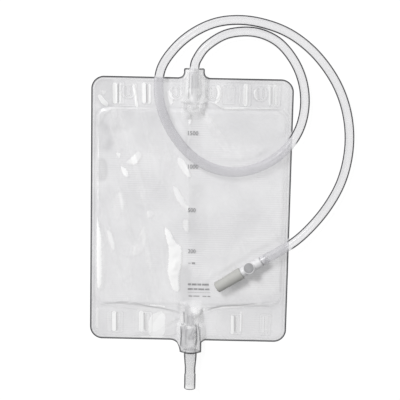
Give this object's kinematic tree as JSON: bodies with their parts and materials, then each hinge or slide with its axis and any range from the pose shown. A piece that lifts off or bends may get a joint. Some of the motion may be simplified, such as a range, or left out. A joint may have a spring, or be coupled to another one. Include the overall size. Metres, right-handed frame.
{
  "type": "urine drainage bag",
  "caption": "Flat film drainage bag with hook flaps and strap slits, a drain tube with a capped sampling connector, and a push-pull outlet valve.",
  "frame": {"origin": "middle of the bag's back face, which lies on the surface it rests on", "axes": "+Y towards the inlet at the bag's top, +Z out of the front film, +X to the right seen from the front"},
  "size_m": [0.2661, 0.3863, 0.0171],
  "materials": {
    "film": "thin clear film, glossy with fine creases",
    "port": "clear soft moulding, glossy",
    "nozzle": "translucent moulding, satin",
    "seal": "matte",
    "tube": "clear soft tubing, glossy",
    "connector": "white moulding, satin",
    "septum": "matte grey",
    "cap": "warm grey moulding, matte"
  },
  "bodies": {
    "bag": {"back_film": "film", "front_film": "film", "inlet_port": "port", "non_return_valve": "film", "outlet_port": "port", "valve_stem": "nozzle", "drain_tube": "tube", "connector_body": "connector", "sample_septum": "septum"},
    "outlet_slide": {"outlet_nozzle": "nozzle", "nozzle_seal": "seal"},
    "cap": {"connector_cap": "cap"}
  },
  "joints": [
    {"name": "outlet_pull", "type": "slide", "parent": "bag", "child": "outlet_slide", "axis": [0, -1, 0], "range_m": [0, 0.008]},
    {"name": "cap_pull", "type": "slide", "parent": "bag", "child": "cap", "axis": [-0.8434, -0.5373, 0], "range_m": [0, 0.03]}
  ]
}
